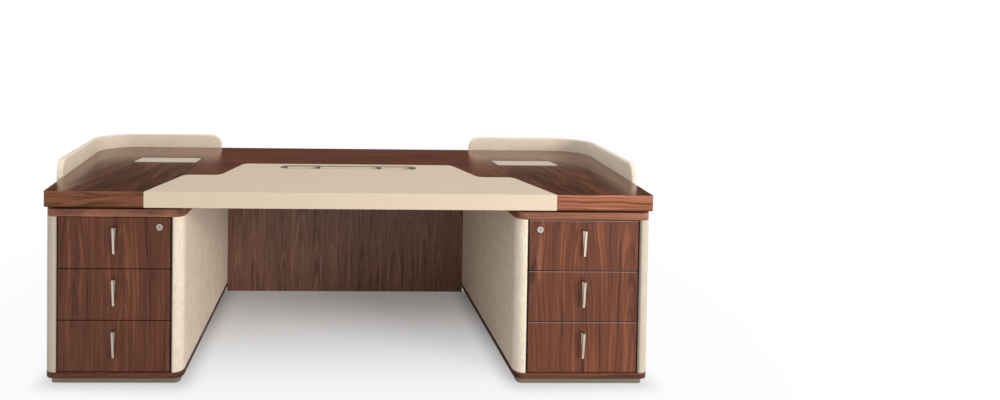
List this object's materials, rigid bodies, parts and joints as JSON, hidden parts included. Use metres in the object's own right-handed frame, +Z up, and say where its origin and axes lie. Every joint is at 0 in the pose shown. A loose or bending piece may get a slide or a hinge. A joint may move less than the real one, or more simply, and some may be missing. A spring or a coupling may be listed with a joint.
{
  "type": "executive desk",
  "caption": "Flared executive desk with an inlaid leather writing pad, pen tray, hinged cable lids, drawer pedestals with locks and curved leather screens at the back corners.",
  "frame": {"origin": "on the floor below the middle of the desk's outer box", "axes": "+X to the right along the front as the sitter sees it, +Y away from the sitter to the visitor side, +Z up"},
  "size_m": [2.8486, 1.1818, 0.841],
  "materials": {
    "cream_leather": "fine grain, low sheen",
    "rosewood_lacquer": "satin lacquer over dark striped veneer",
    "rosewood_satin": "satin veneer, grain upright",
    "rosewood_dark": "satin veneer, grain upright, darker",
    "drawer_wood": "matt birch boards",
    "champagne_metal": "satin champagne finish",
    "lock_nickel": "satin nickel",
    "bronze_band": "satin bronze finish",
    "black_lining": "matt black",
    "glide_plastic": "matt",
    "dowel_wood": "plain beech",
    "zinc_steel": "zinc plated"
  },
  "bodies": {
    "desk": {"base_band_left": "bronze_band", "base_band_right": "bronze_band", "cable_sleeve_left": "black_lining", "cable_sleeve_right": "black_lining", "desktop": "rosewood_lacquer", "floor_glides": "glide_plastic", "inner_side_left": "cream_leather", "inner_side_right": "cream_leather", "lid_hinge_pins": "zinc_steel", "lock_keepers": "lock_nickel", "modesty_panel": "rosewood_dark", "outer_side_left": "cream_leather", "outer_side_right": "cream_leather", "panel_dowels": "dowel_wood", "pedestal_back_left": "rosewood_dark", "pedestal_back_right": "rosewood_dark", "pedestal_cap_left": "rosewood_lacquer", "pedestal_cap_right": "rosewood_lacquer", "pen_tray": "bronze_band", "pen_troughs": "champagne_metal", "plinth_left": "rosewood_lacquer", "plinth_right": "rosewood_lacquer", "runner_channels_left": "zinc_steel", "runner_channels_right": "zinc_steel", "screen_left": "cream_leather", "screen_right": "cream_leather", "screen_studs": "zinc_steel", "top_bolts": "zinc_steel", "top_spacers": "black_lining", "writing_pad": "cream_leather"},
    "drawer_bottom_left": {"drawer_box_bottom_left": "drawer_wood", "drawer_front_bottom_left": "rosewood_satin", "drawer_handle_bottom_left": "champagne_metal", "drawer_slides_bottom_left": "zinc_steel"},
    "drawer_middle_left": {"drawer_box_middle_left": "drawer_wood", "drawer_front_middle_left": "rosewood_satin", "drawer_handle_middle_left": "champagne_metal", "drawer_slides_middle_left": "zinc_steel"},
    "drawer_top_left": {"drawer_box_top_left": "drawer_wood", "drawer_front_top_left": "rosewood_satin", "drawer_handle_top_left": "champagne_metal", "drawer_slides_top_left": "zinc_steel", "lock_barrel_left": "lock_nickel"},
    "lid_left": {"cable_lid_left": "champagne_metal"},
    "lock_left": {"lock_plug_left": "lock_nickel"},
    "drawer_bottom_right": {"drawer_box_bottom_right": "drawer_wood", "drawer_front_bottom_right": "rosewood_satin", "drawer_handle_bottom_right": "champagne_metal", "drawer_slides_bottom_right": "zinc_steel"},
    "drawer_middle_right": {"drawer_box_middle_right": "drawer_wood", "drawer_front_middle_right": "rosewood_satin", "drawer_handle_middle_right": "champagne_metal", "drawer_slides_middle_right": "zinc_steel"},
    "drawer_top_right": {"drawer_box_top_right": "drawer_wood", "drawer_front_top_right": "rosewood_satin", "drawer_handle_top_right": "champagne_metal", "drawer_slides_top_right": "zinc_steel", "lock_barrel_right": "lock_nickel"},
    "lid_right": {"cable_lid_right": "champagne_metal"},
    "lock_right": {"lock_plug_right": "lock_nickel"}
  },
  "joints": [
    {"name": "drawer_bottom_left_slide", "type": "slide", "parent": "desk", "child": "drawer_bottom_left", "axis": [0, -1, 0], "range_m": [0, 0.43]},
    {"name": "drawer_middle_left_slide", "type": "slide", "parent": "desk", "child": "drawer_middle_left", "axis": [0, -1, 0], "range_m": [0, 0.43]},
    {"name": "drawer_top_left_slide", "type": "slide", "parent": "desk", "child": "drawer_top_left", "axis": [0, -1, 0], "range_m": [0, 0.43]},
    {"name": "lid_left_hinge", "type": "hinge", "parent": "desk", "child": "lid_left", "pos_m": [-0.928, 0.192, 0.761], "axis": [-1, 0, 0], "range_deg": [0, 95]},
    {"name": "lock_left_turn", "type": "hinge", "parent": "drawer_top_left", "child": "lock_left", "pos_m": [-0.75, -0.566, 0.623], "axis": [0, 1, 0], "range_deg": [0, 90]},
    {"name": "drawer_bottom_right_slide", "type": "slide", "parent": "desk", "child": "drawer_bottom_right", "axis": [0, -1, 0], "range_m": [0, 0.43]},
    {"name": "drawer_middle_right_slide", "type": "slide", "parent": "desk", "child": "drawer_middle_right", "axis": [0, -1, 0], "range_m": [0, 0.43]},
    {"name": "drawer_top_right_slide", "type": "slide", "parent": "desk", "child": "drawer_top_right", "axis": [0, -1, 0], "range_m": [0, 0.43]},
    {"name": "lid_right_hinge", "type": "hinge", "parent": "desk", "child": "lid_right", "pos_m": [0.928, 0.192, 0.761], "axis": [-1, 0, 0], "range_deg": [0, 95]},
    {"name": "lock_right_turn", "type": "hinge", "parent": "drawer_top_right", "child": "lock_right", "pos_m": [0.75, -0.566, 0.623], "axis": [0, -1, 0], "range_deg": [0, 90]}
  ]
}
